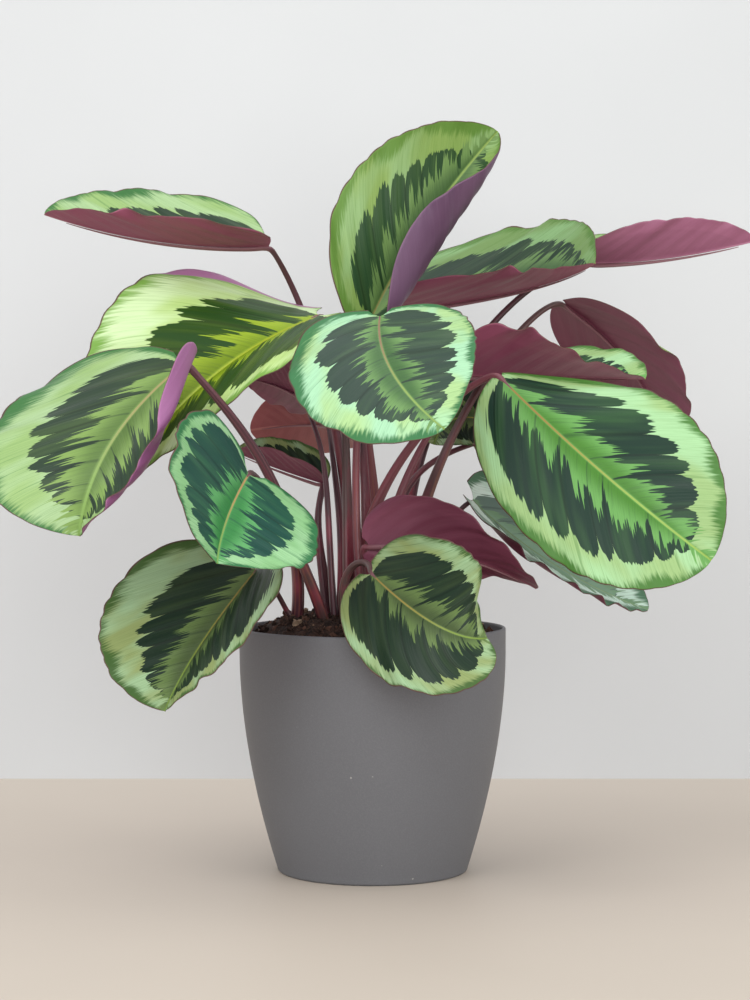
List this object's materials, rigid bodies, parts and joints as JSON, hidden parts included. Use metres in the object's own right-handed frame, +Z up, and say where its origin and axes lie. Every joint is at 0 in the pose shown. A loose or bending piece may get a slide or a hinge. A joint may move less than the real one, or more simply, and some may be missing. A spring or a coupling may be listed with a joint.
{
  "type": "potted plant",
  "caption": "Leafy calathea houseplant with broad patterned leaves on slim stalks, growing from soil in a round tapered planter.",
  "frame": {"origin": "centre of the planter's flat base, on the surface it stands on", "axes": "+Z up, -Y towards the plant's front, +X to the right seen from the front"},
  "size_m": [0.6475, 0.4371, 0.6265],
  "materials": {
    "pot": "matte grey plastic",
    "soil": "damp crumbly potting soil",
    "leaf": "satin leaf, patterned green above and maroon below",
    "stalk": "satin dark maroon leaf stalk"
  },
  "bodies": {
    "root": {"pot": "pot", "soil": "soil", "blade_high_left": "leaf", "stalk_high_left": "stalk", "blade_wide_left": "leaf", "stalk_wide_left": "stalk", "blade_front_left": "leaf", "stalk_front_left": "stalk", "blade_crown_top": "leaf", "stalk_crown_top": "stalk", "blade_upper_right": "leaf", "stalk_upper_right": "stalk", "blade_high_right": "leaf", "stalk_high_right": "stalk", "blade_mid_right": "leaf", "stalk_mid_right": "stalk", "blade_back_right": "leaf", "stalk_back_right": "stalk", "blade_front_centre": "leaf", "stalk_front_centre": "stalk", "blade_front_right": "leaf", "stalk_front_right": "stalk", "blade_low_right": "leaf", "stalk_low_right": "stalk", "blade_inner_left": "leaf", "stalk_inner_left": "stalk", "blade_low_left": "leaf", "stalk_low_left": "stalk", "blade_low_centre": "leaf", "stalk_low_centre": "stalk", "blade_under_right": "leaf", "stalk_under_right": "stalk", "blade_back_left": "leaf", "stalk_back_left": "stalk", "blade_slim_left": "leaf", "stalk_slim_left": "stalk", "blade_hidden_left": "leaf", "stalk_hidden_left": "stalk", "blade_back_centre": "leaf", "stalk_back_centre": "stalk"}
  },
  "joints": []
}
